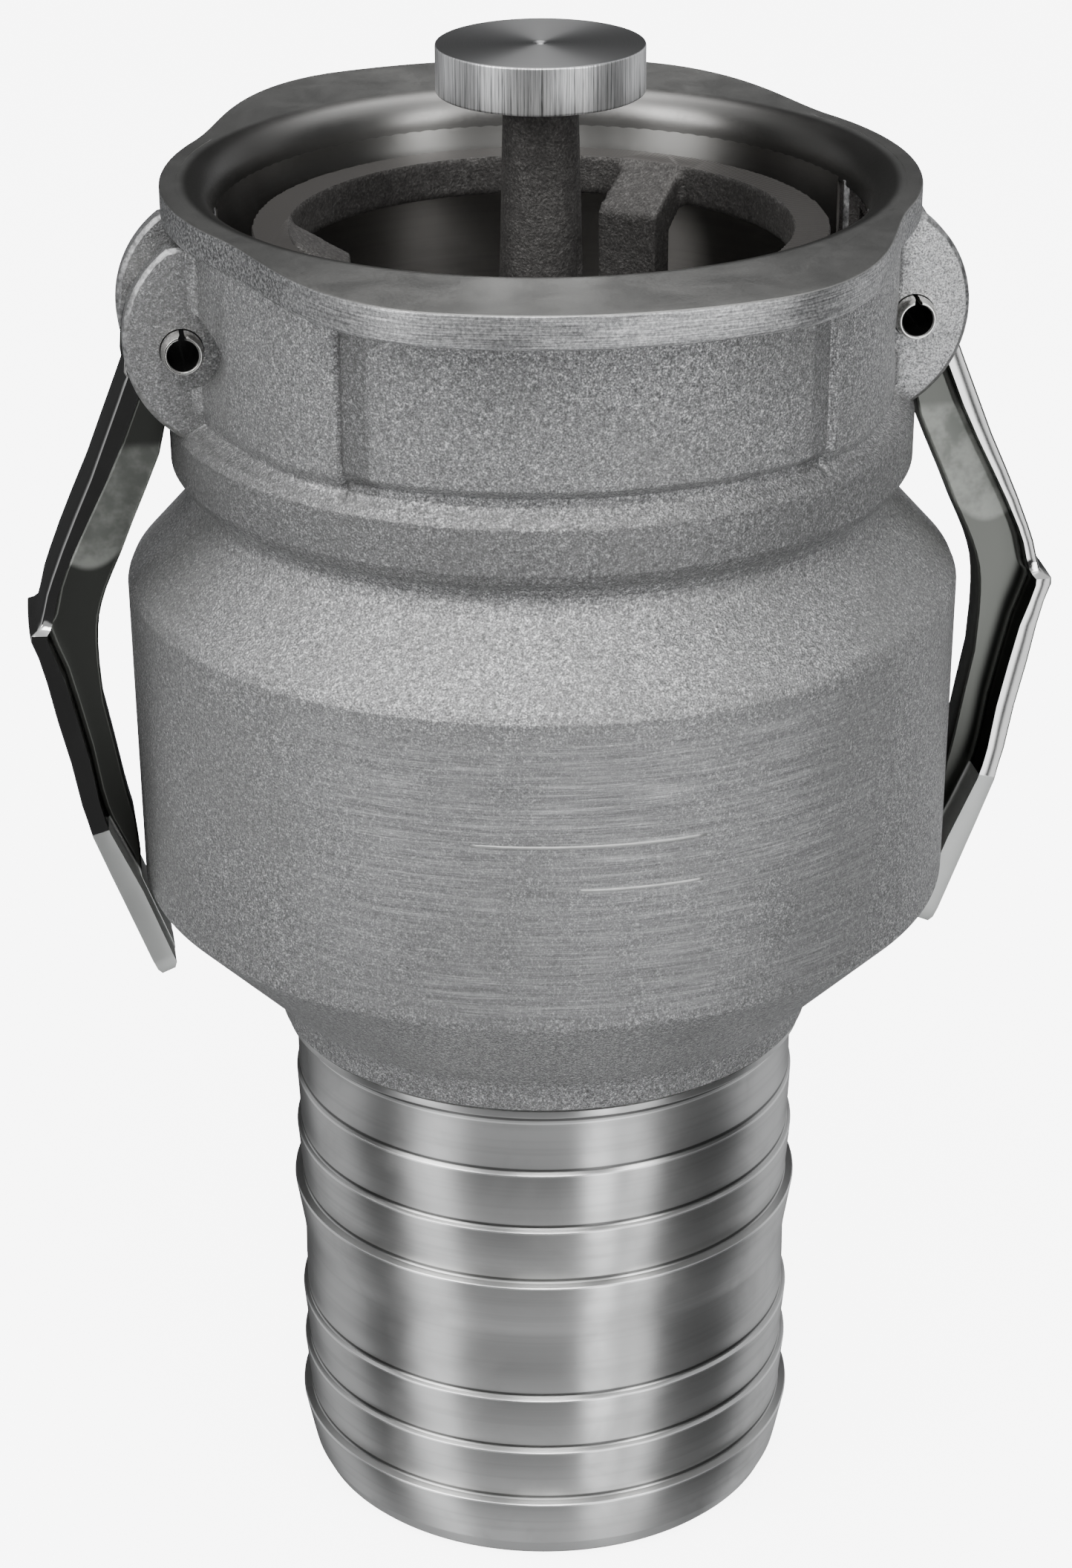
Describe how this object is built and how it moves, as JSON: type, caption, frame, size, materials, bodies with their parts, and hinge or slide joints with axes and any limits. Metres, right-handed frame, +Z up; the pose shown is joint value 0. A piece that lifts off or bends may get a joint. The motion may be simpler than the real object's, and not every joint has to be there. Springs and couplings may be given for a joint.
{
  "type": "camlock hose coupling",
  "caption": "Cam-and-groove hose coupling with cam arms, mouth gasket, barbed hose shank and a sprung valve that an adapter pushes open.",
  "frame": {"origin": "centre of the hose-end face", "axes": "+Z up the bore from the hose end to the mouth; the cam arms lie at +X and -X and their pins run along Y"},
  "size_m": [0.2, 0.1746, 0.3005],
  "materials": {
    "cast_aluminium": "sand cast, linished on the bulge and machined on the shank",
    "machined_aluminium": "turned",
    "dark_cast": "rough cast, dark",
    "stainless": "polished",
    "pin_steel": "bright",
    "spring_steel": "drawn wire",
    "zinc_steel": "zinc plated",
    "bronze": "sintered",
    "rubber": "moulded nitrile"
  },
  "bodies": {
    "coupling_body": {"body": "cast_aluminium", "cam_pin_right": "pin_steel", "cam_pin_left": "pin_steel", "mouth_gasket": "rubber", "seat_ring": "machined_aluminium", "seat_o_ring": "rubber", "seat_retaining_ring": "spring_steel", "valve_spring": "spring_steel", "spring_seat": "zinc_steel", "guide_spider": "dark_cast", "guide_bush": "bronze", "spider_retaining_ring": "spring_steel"},
    "right_arm": {"cam_arm_right": "stainless"},
    "left_arm": {"cam_arm_left": "stainless"},
    "poppet": {"poppet_cage": "dark_cast", "probe_head": "machined_aluminium", "valve_disc": "machined_aluminium", "valve_seal": "rubber", "seal_clamp_plate": "machined_aluminium", "clamp_screw_1": "zinc_steel", "clamp_screw_2": "zinc_steel", "clamp_screw_3": "zinc_steel", "guide_rod": "stainless", "rod_washer": "zinc_steel", "rod_nut": "zinc_steel"}
  },
  "joints": [
    {"name": "right_arm_hinge", "type": "hinge", "parent": "coupling_body", "child": "right_arm", "pos_m": [0.0683, 0, 0.2514], "axis": [0, -1, 0], "range_deg": [0, 110]},
    {"name": "left_arm_hinge", "type": "hinge", "parent": "coupling_body", "child": "left_arm", "pos_m": [-0.0683, 0, 0.2514], "axis": [0, 1, 0], "range_deg": [0, 110]},
    {"name": "poppet_slide", "type": "slide", "parent": "coupling_body", "child": "poppet", "axis": [0, 0, -1], "range_m": [0, 0.038], "stiffness_N_per_m": 1500, "springref_m": -0.02, "deforming": ["valve_spring"]}
  ]
}
